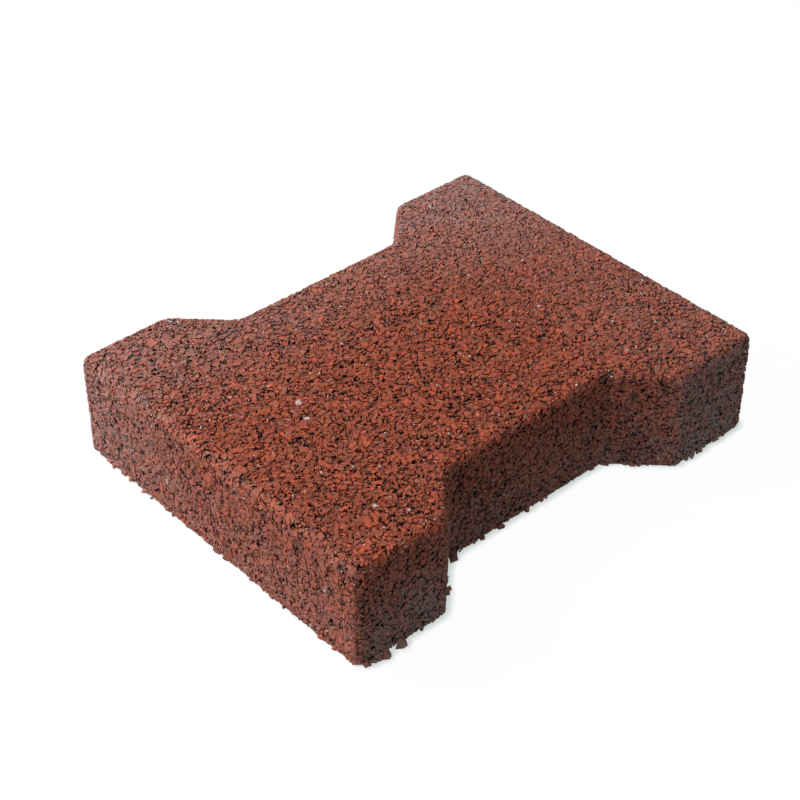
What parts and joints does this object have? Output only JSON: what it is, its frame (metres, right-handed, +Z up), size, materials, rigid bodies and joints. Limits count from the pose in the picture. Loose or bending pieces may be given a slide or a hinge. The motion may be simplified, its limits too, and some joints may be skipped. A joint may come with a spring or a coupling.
{
  "type": "interlocking rubber paver",
  "caption": "Dog-bone paving block pressed in one piece from bonded red-brown rubber granulate; the notches in its sides take the heads of the neighbouring blocks.",
  "frame": {"origin": "middle of the underside, on the ground that the paver lies on", "axes": "+X along the paver from head to head, +Y across it from waist to waist, +Z up out of the walking face"},
  "size_m": [0.2, 0.16, 0.044],
  "materials": {
    "red_brown_granulate": "matte"
  },
  "bodies": {
    "root": {"paver": "red_brown_granulate"}
  },
  "joints": []
}
